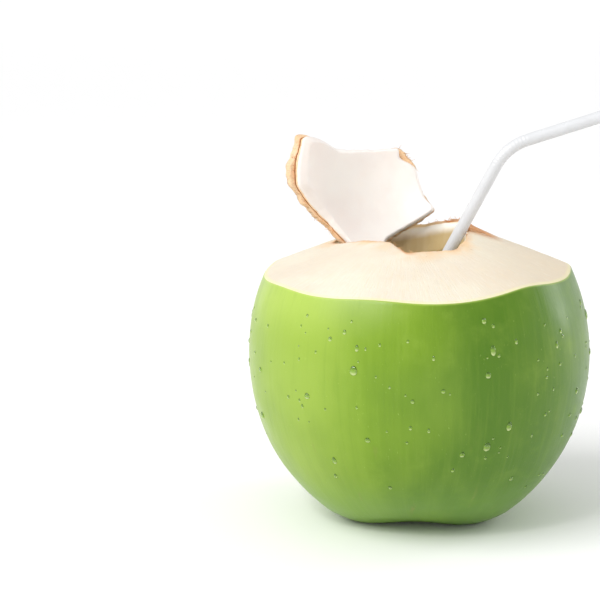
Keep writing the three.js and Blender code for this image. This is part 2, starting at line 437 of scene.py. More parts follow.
def husk_material():
    s = Shader("cut_husk")
    place, grain = s.place(), s.grain()
    side = s.part_of(place, "X")
    wide = s.noise(place, 26.0)
    fibre = s.stretched_noise(grain, (1.5, 1.5, 0.11), 5.0, 0.65)
    fine = s.noise(place, 420.0, 4.0, 0.7)
    tone = s.mix(s.ramp(wide, 0.35, 0.68), colour(233, 226, 207), colour(229, 217, 198))
    # painted shade: the cut husk darker and warmer towards +X, the side turned from the light
    tone = s.tint(tone, colour(216, 200, 176), side, 0.005, 0.075, 0.85)
    tone = s.tint(tone, colour(234, 214, 180), fibre, 0.50, 0.74, 0.45)
    tone = s.tint(tone, colour(246, 242, 230), fibre, 0.46, 0.28, 0.35)
    edge = s.times(s.ramp(s.attribute("from_cut"), 2.4, 0.3), s.ramp(wide, 0.3, 0.6, 0.4, 0.8))
    tone = s.mix(edge, tone, colour(232, 226, 178))
    from_rim = s.attribute("from_rim")
    near = s.ramp(from_rim, 15.0, 1.0)
    patch = s.times(near, s.ramp(s.noise(place, 55.0), 0.40, 0.66))
    tone = s.mix(s.times(patch, 0.75), tone, colour(238, 200, 150))
    torn = s.ramp(s.stretched_noise(grain, (0.4, 0.4, 0.2), 5.0, 0.7), 0.30, 0.50)
    wide_rim = s.times(s.ramp(from_rim, 20.0, 9.0), s.attribute("torn"))
    tone = s.mix(s.times(wide_rim, torn), tone, colour(220, 152, 88))
    deep_tear = s.ramp(s.stretched_noise(grain, (0.9, 0.9, 0.22), 4.0, 0.7), 0.48, 0.60)
    deep_tear = s.times(deep_tear, s.times(wide_rim, 0.8))
    tone = s.mix(deep_tear, tone, colour(150, 86, 44))
    rim = s.times(s.ramp(from_rim, 4.0, 0.3), s.attribute("browned"))
    tone = s.mix(rim, tone, colour(206, 142, 80))
    bits = s.times(s.ramp(s.noise(place, 300.0, 2.0), 0.70, 0.76), near)
    tone = s.mix(s.times(bits, 0.8), tone, colour(150, 96, 52))
    normal = s.bump(fibre, 0.0008, 0.45)
    normal = s.bump(fine, 0.0003, 0.5, normal)
    s.set(Base_Color=tone, Roughness=0.62, Normal=normal)
    s.let_light_in(0.15, (0.004, 0.003, 0.002))
    return s.material


def shell_material():
    s = Shader("shell_edge")
    place, grain = s.place(), s.grain()
    streak = s.stretched_noise(grain, (2.2, 2.2, 0.6), 4.0, 0.6)
    tone = s.mix(s.ramp(streak, 0.36, 0.66), colour(132, 70, 32), colour(208, 138, 76))
    tone = s.mix(s.attribute("browned"), colour(240, 214, 172), tone)
    s.set(Base_Color=tone, Roughness=0.6, Normal=s.bump(s.noise(place, 700.0), 0.0004, 0.6))
    return s.material


def mouth_wall_material():
    s = Shader("mouth_wall")
    place = s.place()
    wide = s.noise(place, 60.0)
    depth = s.plus(s.attribute("from_rim"), s.times(wide, 3.0))
    tone = s.mix(s.ramp(depth, 2.0, 3.6), colour(242, 218, 178), colour(255, 252, 244))
    # painted shade: deeper down the wall the white meat turns tan, standing in for the shade inside
    # the mouth
    tone = s.mix(s.ramp(depth, 4.0, 9.0), tone, colour(200, 175, 124))
    s.set(Base_Color=tone, Roughness=0.4, Normal=s.bump(s.noise(place, 260.0), 0.0003, 0.4))
    s.let_light_in(0.15, (0.005, 0.0045, 0.003))
    return s.material


def meat_material():
    s = Shader("coconut_meat")
    place = s.place()
    wide = s.noise(place, 45.0)
    fine = s.noise(place, 500.0)
    tone = s.mix(s.ramp(wide, 0.3, 0.7), colour(243, 237, 231), colour(239, 230, 224))
    s.set(Base_Color=tone, Roughness=0.38, Normal=s.bump(fine, 0.0002, 0.35))
    s.let_light_in(0.25, (0.005, 0.0045, 0.004))
    s.set(Coat_Weight=0.15, Coat_Roughness=0.25)
    return s.material


def cavity_material():
    s = Shader("cavity_wall_painted_shade")
    place = s.place()
    wide = s.noise(place, 40.0)
    # painted shade: the cavity's white meat is given a tan colour that stands in for the shade inside
    # it
    tone = s.mix(s.ramp(wide, 0.3, 0.7), colour(206, 184, 136), colour(194, 170, 122))
    s.set(Base_Color=tone, Roughness=0.35, Normal=s.bump(s.noise(place, 260.0), 0.0003, 0.4))
    return s.material


def lid_fibre_material():
    s = Shader("lid_husk")
    place, grain = s.place(), s.grain()
    fibre = s.stretched_noise(grain, (0.10, 1.3, 1.3), 5.0, 0.7)
    wide = s.noise(place, 60.0)
    fine = s.noise(place, 600.0)
    tone = s.mix(s.ramp(wide, 0.35, 0.7), colour(253, 222, 184), colour(249, 206, 160))
    tone = s.tint(tone, colour(206, 136, 78), fibre, 0.52, 0.72, 0.7)
    tone = s.tint(tone, colour(253, 230, 200), fibre, 0.45, 0.28, 0.5)
    normal = s.bump(fibre, 0.0010, 0.7)
    normal = s.bump(fine, 0.0003, 0.6, normal)
    s.set(Base_Color=tone, Roughness=0.7, Normal=normal)
    s.let_light_in(0.1, (0.003, 0.002, 0.001))
    return s.material


def lid_back_material():
    s = Shader("lid_outside")
    place, grain = s.place(), s.grain()
    fibre = s.stretched_noise(grain, (0.12, 1.1, 1.0), 5.0, 0.7)
    wide = s.noise(place, 40.0)
    fine = s.noise(place, 500.0)
    tone = s.mix(s.ramp(wide, 0.35, 0.7), colour(248, 234, 208), colour(242, 214, 174))
    tone = s.tint(tone, colour(214, 162, 108), fibre, 0.52, 0.74, 0.6)
    tone = s.tint(tone, colour(255, 247, 230), fibre, 0.45, 0.28, 0.4)
    normal = s.bump(fibre, 0.0012, 0.6)
    normal = s.bump(fine, 0.0003, 0.5, normal)
    s.set(Base_Color=tone, Roughness=0.68, Normal=normal)
    return s.material


def straw_material():
    s = Shader("white_plastic")
    place = s.place()
    haze = s.noise(place, 120.0, 2.0)
    tone = s.mix(s.ramp(haze, 0.3, 0.7), colour(216, 217, 219), colour(210, 211, 213))
    s.set(Base_Color=tone, Roughness=s.ramp(haze, 0.3, 0.7, 0.26, 0.34))
    s.let_light_in(0.1, (0.002, 0.002, 0.002))
    return s.material


def water_material():
    """Beads of water: half see-through, with painted shade on their upper side and a painted glow of
    gathered light on their lower side.
    """
    s = Shader("water")
    lower = s.attribute("lower_side")
    # painted shade above and a painted glow of gathered light below, set by the lower_side attribute
    tone = s.mix(s.ramp(lower, -0.75, 0.0), colour(84, 122, 34), colour(146, 184, 72))
    tone = s.mix(s.ramp(lower, 0.1, 0.8), tone, colour(224, 240, 164))
    s.set(Base_Color=tone, Roughness=0.03, IOR=1.33, Alpha=0.62)
    s.set(Coat_Weight=1.0, Coat_Roughness=0.02)
    return s.material


def fibre_strand_material():
    s = Shader("loose_fibre")
    wide = s.noise(s.place(), 150.0, 2.0)
    tone = s.mix(s.ramp(wide, 0.3, 0.7), colour(232, 190, 140), colour(186, 122, 70))
    s.set(Base_Color=tone, Roughness=0.7)
    return s.material


# -------- the nut's surfaces

SKIN, UNDERSIDE, HUSK, SHELL, WALL, CAVITY = range(6)

CUT_FIRST_HEIGHT = 122.0  # where the cut is first looked for
CUT_ROUNDS = 12
CUT_EDGE_ROUNDING = 0.9

# bumps round the rim, each a direction and a width in degrees, and a strength: where torn husk
# stands up, where it is brownish, and where brown shell shows
TORN_RISE = [(31, 20, 1.0)]
TORN_PATCHES = [(12, 11, 0.85), (31, 20, 1.7)]
BROWN_PATCHES = [(22, 22, 0.9), (51, 6, 0.8), (-93, 9, 0.9), (-150, 26, 0.45), (172, 20, 0.3)]
BROWN_LEAST = 0.16
BROWN_NOISE = [(22, 3.0, 0.35)]  # waves in a turn, seed and height
TORN_SHARPNESS = 6  # how closely the torn husk's rise keeps to the rim
TUFT_HEIGHT = 0.7
TUFT_WAVES = 110

# noise round the rim: waves in a turn, seed and height
RIM_SOFTENING = math.radians(3.5)
RIM_CHIPS = [(26, 1.3, 0.55), (70, 5.1, 0.30)]
RIM_UPS_AND_DOWNS = [(18, 9.7, 0.5), (60, 2.2, 0.3)]
RIM_ROUNDING = 0.10  # share of the wall's depth that the rounding of the rim takes

# the underside: each pair is how far from the middle something starts and is complete
SPOT_SHARE = 0.86  # of the footprint, where the flat spot's round edge starts
SPOT_EDGE_HEIGHT = 7.0
SCAR_DEPTH = 1.4
SCAR_SIDE = (3.0, 9.0)
PUCKERS = 9
PUCKER_HEIGHT = 0.25
PUCKER_RISE = (4, 8)
PUCKER_FALL = (9, 15)
ARCH_RISE = (10, 34)
ARCH_FADE_HEIGHT = 8

# noise over the surfaces: size, seed and height
SKIN_DENTS = [(46.0, 3.3, 0.55), (15.0, 8.1, 0.12)]
DENTS_START, DENTS_FULL = 2.0, 16.0  # heights
KNIFE_MARKS = [(9.0, 1.7, 0.22)]
KNIFE_MARK_STRETCH = (1.0, 1.0, 0.4)
HUSK_PITS = [(2.6, 4.4, 0.09)]
WALL_WAVES = [(4.0, 6.0, 0.25)]

GRAIN_RADIUS = 60.0


def between_lobes(angles):
    """0 along the middle of each lobe, 1 along the groove between two."""
    return (1 - np.cos(LOBES * (angles - LOBE_DIRECTION))) / 2


def skin_radius(height, angles):
    """An ellipsoid, with grooves between the lobes that deepen towards the base."""
    level = (height - GIRTH_HEIGHT) / HALF_HEIGHT
    round_radius = GIRTH_RADIUS * np.sqrt(1 - level * level)
    groove = GROOVE_AT_GIRTH + GROOVE_AT_BASE * np.exp(-height / GROOVE_FADE_HEIGHT)
    return round_radius * (1 - groove * between_lobes(angles))


def trim_height(x, y):
    """The height of the trimmed top: the lowest of the knife's strokes, blended where they meet."""
    heights = []
    for facing, slope, height in STROKES:
        facing, slope = math.radians(facing), math.radians(slope)
        out = x * math.cos(facing) + y * math.sin(facing)
        heights.append(height - math.tan(slope) * (out - STROKE_RADIUS))
    heights = np.array(heights)
    lowest = heights.min(axis=0)
    blend = np.exp(-(heights - lowest) / STROKE_BLEND).sum(axis=0)
    return lowest - STROKE_BLEND * np.log(blend)


def cut_height(angles):
    """The height at which the skin meets the trimmed top, found step by step."""
    height = np.full_like(angles, CUT_FIRST_HEIGHT)
    for _ in range(CUT_ROUNDS):
        radius = skin_radius(height, angles)
        height = trim_height(radius * np.cos(angles), radius * np.sin(angles))
    return height


def mouth_rim(angles):
    """The ragged edge of the mouth: the chopped outline, with small chips."""
    reach = outline_reach(MOUTH_CORNERS, MOUTH_CENTRE, angles, RIM_SOFTENING)
    reach += ring_layers(angles, RIM_CHIPS)
    x = MOUTH_CENTRE[0] + reach * np.cos(angles)
    y = MOUTH_CENTRE[1] + reach * np.sin(angles)
    height = trim_height(x, y) + TORN_LIFT * round_bumps(angles, TORN_RISE)
    height += ring_layers(angles, RIM_UPS_AND_DOWNS)
    return np.stack([x, y, height], axis=-1)


def bezier(start, control, end, shares):
    """Rows of points on quadratic curves, one row for each share."""
    shares = np.asarray(shares)[:, None, None]
    return (1 - shares) ** 2 * start + 2 * shares * (1 - shares) * control + shares ** 2 * end


def ring_at(radius, angles, height):
    height = np.broadcast_to(height, angles.shape)
    return np.stack([radius * np.cos(angles), radius * np.sin(angles), height], axis=-1)


def underside_rows(angles):
    """A shallow, puckered scar in the middle, the flat spot, and its round edge."""
    footprint = skin_radius(0.0, angles)
    rows = []
    for share in np.linspace(0, SPOT_SHARE, SPOT_ROWS):
        reach = share * footprint
        scar = SCAR_DEPTH * (1 - smooth_step(reach, *SCAR_SIDE))
        pucker = PUCKER_HEIGHT * np.abs(np.cos(PUCKERS * angles))
        pucker *= smooth_step(reach, *PUCKER_RISE) * (1 - smooth_step(reach, *PUCKER_FALL))
        rows.append((ring_at(reach, angles, scar + pucker), UNDERSIDE))
    corner = ring_at(footprint, angles, 0.0)
    above = ring_at(skin_radius(SPOT_EDGE_HEIGHT, angles), angles, SPOT_EDGE_HEIGHT)
    for row in bezier(rows[-1][0], corner, above, np.linspace(0.06, 1, FOOT_ROWS)):
        rows.append((row, SKIN))
    return rows


def skin_rows(angles, top):
    """The skin, up to just under the cut."""
    first = math.acos((GIRTH_HEIGHT - SPOT_EDGE_HEIGHT) / HALF_HEIGHT)
    last = np.arccos((GIRTH_HEIGHT - (top - CUT_EDGE_ROUNDING)) / HALF_HEIGHT)
    rows = []
    for share in np.linspace(0, 1, SKIN_ROWS)[1:]:
        height = GIRTH_HEIGHT - HALF_HEIGHT * np.cos(first + (last - first) * share)
        rows.append((ring_at(skin_radius(height, angles), angles, height), SKIN))
    return rows


def husk_rows(angles, inner, rim):
    """The trimmed husk, from the edge of the cut up to the rim, where it is torn up in tufts."""
    rim_lift = rim[:, 2] - trim_height(rim[:, 0], rim[:, 1])
    torn = TUFT_HEIGHT * round_bumps(angles, TORN_RISE)
    rows = []
    for share in np.linspace(0, 1, HUSK_ROWS)[1:-1]:
        row = inner + (rim - inner) * share
        tufts = torn * ring_noise(angles, TUFT_WAVES, 9 * share)
        row[:, 2] = trim_height(row[:, 0], row[:, 1]) + (rim_lift + tufts) * share ** TORN_SHARPNESS
        rows.append((row, HUSK))
    return rows


def mouth_rows(angles, before, rim):
    """Over the rim, past the edge of the shell, and down the wall of the mouth."""
    outward = np.stack([np.cos(angles), np.sin(angles), np.zeros_like(angles)], axis=-1)
    foot = rim - MOUTH_WALL_INSET * outward - MOUTH_WALL_DEPTH * np.array(UP)
    below = rim + (foot - rim) * RIM_ROUNDING
    over = bezier(before, rim, below, (0.2, 0.4, 0.6, 0.8, 1))
    rows = list(zip(over, (HUSK, HUSK, SHELL, SHELL, SHELL)))
    for share in np.linspace(RIM_ROUNDING, 1, WALL_ROWS)[1:]:
        rows.append((rim + (foot - rim) * share, WALL))
    return rows


def cavity_rows(angles, foot):
    """From the foot of the mouth's wall, round the cavity, to its lowest point."""
    start_turn = np.arcsin(np.hypot(foot[:, 0], foot[:, 1]) / CAVITY_RADIUS)
    rows = []
    for share in np.linspace(0, 1, CAVITY_ROWS)[1:]:
        turn = start_turn + (math.pi - start_turn) * share
        height = CAVITY_CENTRE_HEIGHT + CAVITY_HALF_HEIGHT * np.cos(turn)
        round_row = ring_at(CAVITY_RADIUS * np.sin(turn), angles, height)
        rows.append((foot + (round_row - foot) * smooth_step(share, 0.0, 0.3), CAVITY))
    return rows


def nut_rows(angles):
    """Rings, each with its zone, from the underside up the skin, over the cut and into the cavity."""
    top = cut_height(angles)
    edge = ring_at(skin_radius(top, angles), angles, top)
    rim = mouth_rim(angles)
    inward = (rim - edge)[:, :2]
    inward /= np.linalg.norm(inward, axis=1, keepdims=True)
    inner = edge.copy()
    inner[:, :2] += CUT_EDGE_ROUNDING * inward
    inner[:, 2] = trim_height(inner[:, 0], inner[:, 1])

    rows = underside_rows(angles)
    rows += skin_rows(angles, top)
    round_edge = bezier(rows[-1][0], edge, inner, (0.25, 0.5, 0.75, 1))
    rows += zip(round_edge, (SKIN, SKIN, HUSK, HUSK))
    rows += husk_rows(angles, inner, rim)
    rows += mouth_rows(angles, rows[-1][0], rim)
    rows += cavity_rows(angles, rows[-1][0])
    return rows


def skin_dents(points):
    """How far soft dents move the skin in or out, fading towards the flat spot."""
    return noise_layers(points, SKIN_DENTS) * smooth_step(points[:, 2], DENTS_START, DENTS_FULL)


def roughen_nut(points, zones):
    """Arches between the lobes, dents in the skin, knife marks and pits on the cut husk."""
    skin, husk, wall = zones == SKIN, zones == HUSK, zones == WALL
    away = points - [0, 0, GIRTH_HEIGHT]
    away /= np.maximum(np.linalg.norm(away, axis=-1, keepdims=True), TINY)
    turn = np.arctan2(points[..., 1], points[..., 0])
    reach = np.hypot(points[..., 0], points[..., 1])
    arch = GROOVE_ARCH * between_lobes(turn) * smooth_step(reach, *ARCH_RISE)
    arch *= np.exp(-points[..., 2] / ARCH_FADE_HEIGHT)
    points[..., 2] += np.where(skin | (zones == UNDERSIDE), arch, 0)
    points[skin] += away[skin] * skin_dents(points[skin])[:, None]
    marks = noise_layers(points[husk] * KNIFE_MARK_STRETCH, KNIFE_MARKS)
    points[husk, 2] += marks + noise_layers(points[husk], HUSK_PITS)
    points[wall] += away[wall] * noise_layers(points[wall], WALL_WAVES)[:, None]
    return points


def browned_round_rim(angles):
    """How brown the shell shows at the rim: strongest at the back right and at the front notch."""
    patches = BROWN_LEAST + ring_layers(angles, BROWN_NOISE)
    patches += round_bumps(angles, BROWN_PATCHES)
    return np.clip(patches, 0, 1)


def make_nut():
    grid = RoundGrid(NUT_SEGMENTS)
    rows = nut_rows(grid.angles)
    points = np.array([row for row, _ in rows])
    zones = np.array([[zone] * NUT_SEGMENTS for _, zone in rows])
    points = roughen_nut(points, zones)
    steps = np.linalg.norm(np.diff(points, axis=0), axis=-1)
    along = np.concatenate([np.zeros((1, NUT_SEGMENTS)), np.cumsum(steps, axis=0)])
    cut_row = next(i for i, (_, zone) in enumerate(rows) if zone == HUSK)
    rim_row = next(i for i, (_, zone) in enumerate(rows) if zone == SHELL)
    browned = browned_round_rim(grid.angles)
    torn = np.clip(round_bumps(grid.angles, TORN_PATCHES), 0, 1)
    for i, (_, zone) in enumerate(rows):
        grid.add(
            points[i], zone, grain=ring_at(GRAIN_RADIUS, grid.angles, along[i]),
            from_cut=np.abs(along[i] - along[cut_row]),
            from_rim=np.abs(along[i] - along[rim_row]),
            browned=browned, torn=torn)
    faces, face_materials = grid.faces()
    # in the order of the zones
    materials = [skin_material(), underside_material(), husk_material(), shell_material(),
                 mouth_wall_material(), cavity_material()]
    nut = new_piece("coconut_skin_and_husk", grid.points(), faces, materials, face_materials,
                    grid.attributes())
    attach(nut, "root")
    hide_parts("coconut")
    return nut


# -------- the chopped-off piece

LID_BACK, LID_FIBRE, LID_SHELL, LID_MEAT = range(4)

# bumps round the outline, each a direction and a width in degrees, and a height: a chip out of
# the meat, how far the cut slants in across it, a flap at the thick end and little husk on top
LID_MEAT_CHIPS = [(30, 9, -2.8)]
LID_BEVEL = [(178, 46, 4.6)]
LID_LEAST_BEVEL = 0.5
LID_HUSK_CHIPS = [
    (164, 4, 2.2), (171, 4, 2.4), (178, 4, 1.6), (186, 4, -0.8), (193, 6, 0.8), (30, 9, 0.6),
    (115, 26, -3.2), (72, 26, -3.2), (0, 12, -1.0), (-48, 22, -0.9), (-120, 20, -0.6),
]

# noise round the outline: waves in a turn, seed and height
LID_SOFTENING = math.radians(2.5)
LID_MEAT_RAGGED = [(30, 2.0, 0.5), (80, 7.0, 0.25)]
LID_HUSK_RAGGED = [(34, 4.0, 0.9), (90, 1.0, 0.7)]

# noise over the two faces: size, seed and height
LID_OUTSIDE_HOLLOWS = [(11.0, 5.5, 0.35), (3.0, 2.5, 0.12)]
LID_INSIDE_RIPPLES = [(16.0, 0.5, 0.22), (5.0, 3.5, 0.06)]

# layers of the cut edge: a share of the thickness, and how far the layer stands out
LID_HUSK_LAYERS = [(0.97, 0.0), (0.92, -0.3), (0.86, 0.1), (0.80, -0.4), (0.74, -0.1), (0.69, -0.5)]
LID_CREASE_LAYERS = [(0.68, -0.9, LID_FIBRE), (0.66, -1.8, LID_SHELL), (0.62, -1.6, LID_SHELL)]
LID_INNER_HUSK_LAYERS = [(0.59, -0.7), (0.53, -0.4), (0.47, -0.6)]
# and of the meat, with the share of the bevel that each has reached
LID_MEAT_LAYERS = [(0.42, -0.35, 0), (0.36, 0, 0), (0.26, 0, 0.25), (0.12, 0, 0.7), (0, 0, 1)]
LID_BROWNED = 0.95


def lid_turn():
    """The rotation that stands the dish up: its hollow side faces -Y, turned and tilted."""
    tip = Quaternion((1, 0, 0), math.pi / 2 - LID_TILT)
    return Quaternion((0, 0, 1), LID_TURN) @ tip


def lid_place(u, v, depth):
    """A point of the lid: u and v along its inner sphere, depth outwards from that sphere."""
    distance = np.hypot(u, v)
    turn = distance / LID_INNER_RADIUS
    share = np.where(distance > TINY, np.sin(turn) / np.maximum(distance, TINY), 0)
    radius = LID_INNER_RADIUS + depth
    local = np.stack([radius * share * u, radius * share * v, -radius * np.cos(turn)], axis=-1)
    matrix = np.array(lid_turn().to_matrix())
    hollow_side = np.array(lid_turn() @ UP)
    return local @ matrix.T + np.array(LID_MIDDLE) + hollow_side * LID_INNER_RADIUS


def lid_thickness(u, v):
    """Thickest at the left, most of all in the upper corner, where more husk was left on."""
    share = (u / LID_HALF_LENGTH + 1) / 2
    corner = LID_CORNER_HUSK * smooth_step(v, 0, 14) * smooth_step(-u, 5, 32)
    return LID_THICK_EDGE + (LID_THIN_EDGE - LID_THICK_EDGE) * share + corner


def lid_rows(angles):
    """The lid from the middle of its outside, over its layered edge, to the middle of its inside."""
    smooth_reach = outline_reach(LID_CORNERS, (0.0, 0.0), angles, LID_SOFTENING)
    meat_reach = smooth_reach + ring_layers(angles, LID_MEAT_RAGGED)
    meat_reach += round_bumps(angles, LID_MEAT_CHIPS)
    husk_reach = smooth_reach + ring_layers(angles, LID_HUSK_RAGGED)
    husk_reach += round_bumps(angles, LID_HUSK_CHIPS)
    inner_reach = np.minimum(husk_reach, meat_reach)
    bevel = LID_LEAST_BEVEL + round_bumps(angles, LID_BEVEL)
    cos, sin = np.cos(angles), np.sin(angles)

    def row(reach, layer):
        u, v = reach * cos, reach * sin
        return lid_place(u, v, layer * lid_thickness(u, v))

    rows = []
    for share in np.linspace(0, 0.985, LID_FACE_ROWS):
        flat = ring_at(share * husk_reach, angles, 0.0)
        u, v = flat[:, 0], flat[:, 1]
        hollow = np.clip(noise_layers(flat, LID_OUTSIDE_HOLLOWS), -0.6, 0.4) - 0.4
        rows.append((lid_place(u, v, lid_thickness(u, v) + hollow), LID_BACK))
    for layer, pull in LID_HUSK_LAYERS:
        rough = ring_layers(angles, [(60, 10 * layer, 0.40), (130, 10 * layer, 0.25)])
        rows.append((row(husk_reach + pull + rough, layer), LID_FIBRE))
    for layer, pull, zone in LID_CREASE_LAYERS:
        rows.append((row(inner_reach + pull, layer), zone))
    for layer, pull in LID_INNER_HUSK_LAYERS:
        rough = 0.25 * ring_noise(angles, 90, 20 * layer)
        rows.append((row(inner_reach + pull + rough, layer), LID_FIBRE))
    for layer, pull, slant in LID_MEAT_LAYERS:
        rows.append((row(meat_reach + pull - slant * bevel, layer), LID_MEAT))
    for share in np.linspace(0.97, 0, LID_FACE_ROWS):
        flat = ring_at(share * (meat_reach - bevel), angles, 0.0)
        ripple = noise_layers(flat, LID_INSIDE_RIPPLES)
        rows.append((lid_place(flat[:, 0], flat[:, 1], -ripple), LID_MEAT))
    return rows


def make_lid(meat, shell):
    grid = RoundGrid(LID_SEGMENTS)
    matrix = np.array(lid_turn().to_matrix())
    for points, zone in lid_rows(grid.angles):
        local = (points - np.array(LID_MIDDLE)) @ matrix
        grid.add(points, zone, grain=local, browned=np.full(LID_SEGMENTS, LID_BROWNED))
    faces, face_materials = grid.faces()
    # in the order of the lid's zones
    materials = [lid_back_material(), lid_fibre_material(), shell, meat]
    lid = new_piece("chopped_off_top", grid.points(), faces, materials, face_materials,
                    grid.attributes())
    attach(lid, "root")
    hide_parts("shell_lid")


# -------- the straw

PLEAT_PITCH = 1.75
PLEAT_DEPTH = 0.11
PLEATED_HALF_LENGTH = 10.5
PLEAT_FADE = 1.0


def straw_line():
    """The straw's centre line as points, close together where it bends."""
    up = Vector((math.sin(STRAW_LEAN), 0, math.cos(STRAW_LEAN)))
    out = Vector((math.cos(STRAW_TOP_RISE), 0, math.sin(STRAW_TOP_RISE)))

    def along(height):
        return STRAW_AT_MOUTH + up * ((height - STRAW_AT_MOUTH.z) / up.z)

    foot, elbow = along(STRAW_FOOT_HEIGHT), along(STRAW_ELBOW_HEIGHT)
    start, end = elbow - up * STRAW_BEND_REACH, elbow + out * STRAW_BEND_REACH
    tip = elbow + out * STRAW_TOP_ARM
    points = [foot.lerp(start, k / STRAW_LOWER_STEPS) for k in range(STRAW_LOWER_STEPS)]
    for k in range(STRAW_BEND_STEPS):
        t = k / STRAW_BEND_STEPS
        points.append(start * (1 - t) ** 2 + elbow * (2 * t * (1 - t)) + end * t ** 2)
    points += [end.lerp(tip, k / STRAW_UPPER_STEPS) for k in range(STRAW_UPPER_STEPS + 1)]
    return points


def bellows(distance):
    """How far the pleats of the bend draw the wall in, at a distance from the bend's middle."""
    fade = 1 - smooth_step(abs(distance), PLEATED_HALF_LENGTH - PLEAT_FADE, PLEATED_HALF_LENGTH)
    return PLEAT_DEPTH * fade * (0.5 - 0.5 * math.cos(TURN * distance / PLEAT_PITCH))


def make_straw():
    line = straw_line()
    lengths = [0.0]
    for before, after in zip(line, line[1:]):
        lengths.append(lengths[-1] + (after - before).length)
    bend_middle = lengths[STRAW_LOWER_STEPS + STRAW_BEND_STEPS // 2]
    side = Vector((0, 1, 0))
    rings = []
    for k, point in enumerate(line):
        ahead = (line[min(k + 1, len(line) - 1)] - line[max(k - 1, 0)]).normalized()
        across = side.cross(ahead)
        rings.append((point, across, bellows(lengths[k] - bend_middle)))

    def circle(ring, radius):
        point, across, drawn_in = ring
        return [
            point + (across * math.cos(a) + side * math.sin(a)) * (radius - drawn_in)
            for a in np.arange(STRAW_SIDES) / STRAW_SIDES * TURN]

    tube = [circle(ring, STRAW_RADIUS) for ring in rings]
    bore = [circle(ring, STRAW_BORE_RADIUS) for ring in reversed(rings)]
    loops = tube + bore
    points = [point for loop in loops for point in loop]
    faces = []
    for i in range(len(loops)):
        low, high = i * STRAW_SIDES, (i + 1) % len(loops) * STRAW_SIDES
        for j in range(STRAW_SIDES):
            k = (j + 1) % STRAW_SIDES
            faces.append((low + j, low + k, high + k, high + j))
    straw = new_piece("bent_straw", points, faces, [straw_material()])
    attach(straw, "root")
    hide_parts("straw")


# -------- water drops

DROPS = 270
DROP_SIDES = 18
DROP_RINGS = 6
DROP_HEIGHT = 0.46  # of the drop's radius, and so are the next two
DROP_FOOT_DEPTH = 0.08
DROP_SAG = 0.10
DROP_SPACING = 1.7  # of the sum of two drops' radii
DROP_GAP_UNDER_CUT = 4
DROP_PLACES = (10, 118, 100)  # lowest, highest and likeliest
SMALLEST_DROP, LARGEST_DROP = 0.45, 1.8
DROP_SPREAD = 0.36
LONG_DROPS = 0.3  # share of the drops


def skin_point(angle, height):
    """A point on the dented skin."""
    radius = float(skin_radius(np.float64(height), np.float64(angle)))
    point = np.array([[radius * math.cos(angle), radius * math.sin(angle), height]])
    away = point - [0, 0, GIRTH_HEIGHT]
    away /= np.linalg.norm(away)
    return Vector((point + away * skin_dents(point)[:, None])[0])


def drop_mesh(middle, radius, stretch):
    """A closed bead of water on the skin: a dome, fuller at its lower end, on a flat foot."""
    angle = math.atan2(middle.y, middle.x)
    right = Vector((-math.sin(angle), math.cos(angle), 0))
    above = skin_point(angle, middle.z + 0.5)
    up_skin = (above - skin_point(angle, middle.z - 0.5)).normalized()
    out = right.cross(up_skin).normalized()
    points, lower_side = [], []
    for ring in range(DROP_RINGS):
        share = ring / DROP_RINGS
        lift = math.sin(share * math.pi / 2)
        width = math.cos(share * math.pi / 2)
        for k in range(DROP_SIDES):
            a = k / DROP_SIDES * TURN
            sag = 1 - DROP_SAG * math.sin(a)
            offset = right * (math.cos(a) * width * sag) + up_skin * (math.sin(a) * width * stretch)
            points.append(middle + offset * radius + out * (radius * DROP_HEIGHT * lift))
            lower_side.append(-math.sin(a) * width)
    points += [middle + out * (radius * DROP_HEIGHT), middle - out * (radius * DROP_FOOT_DEPTH)]
    lower_side += [0, 0]
    return points, ringed_faces(DROP_RINGS, DROP_SIDES), lower_side


def make_drops():
    chosen, points, faces, lower_side = [], [], [], []
    while len(chosen) < DROPS:
        angle = random.uniform(0, TURN)
        height = random.triangular(*DROP_PLACES)
        radius = min(SMALLEST_DROP + random.expovariate(1 / DROP_SPREAD), LARGEST_DROP)
        long_drop = random.random() < LONG_DROPS
        stretch = random.uniform(1.4, 2.1) if long_drop else random.uniform(1.0, 1.3)
        middle = skin_point(angle, height)
        if height > float(cut_height(np.array([angle]))[0]) - DROP_GAP_UNDER_CUT:
            continue
        if any((middle - other).length < (radius + size) * DROP_SPACING for other, size in chosen):
            continue
        chosen.append((middle, radius))
        bead, bead_faces, bead_lower_side = drop_mesh(middle, radius, stretch)
        lower_side.extend(bead_lower_side)
        faces.extend(tuple(i + len(points) for i in face) for face in bead_faces)
        points.extend(bead)
    drops = new_piece("water_drops", points, faces, [water_material()],
                      attributes={"lower_side": lower_side})
    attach(drops, "root")


# -------- loose fibres

STRAND_SIDES = 5
STRAND_RINGS = 6
STRAND_TAPER = 0.7
LID_FIBRES = 90
RIM_FIBRES = 110
# directions in degrees that fibres gather round
LID_FIBRE_PLACES = (172, 172, 180, -150, -140, 26)
RIM_FIBRE_PLACES = (5, 14, 25, 40, 60, -93, 165)
FIBRE_SPREAD = 14
FIBRE_SOFTENING = math.radians(4)
NEARBY = 0.02  # a small share of a place's distance, for finding directions there


def strand(root, direction, length, radius, bend):
    """A tapering, curved fibre."""
    across = direction.orthogonal().normalized()
    other = direction.cross(across)
    points = []
    for ring in range(STRAND_RINGS):
        share = ring / STRAND_RINGS
        middle = root + direction * (length * share) + bend * (length * share * share)
        width = radius * (1 - STRAND_TAPER * share)
        for k in range(STRAND_SIDES):
            a = k / STRAND_SIDES * TURN
            points.append(middle + (across * math.cos(a) + other * math.sin(a)) * width)
    points.append(root + direction * length + bend * length)
    points.append(root - direction * radius)
    return points


def make_fibres(name, strands, material):
    points, faces = [], []
    for values in strands:
        for face in ringed_faces(STRAND_RINGS, STRAND_SIDES):
            faces.append(tuple(i + len(points) for i in face))
        points.extend(strand(*values))
    piece = new_piece(name, points, faces, [material])
    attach(piece, "root")


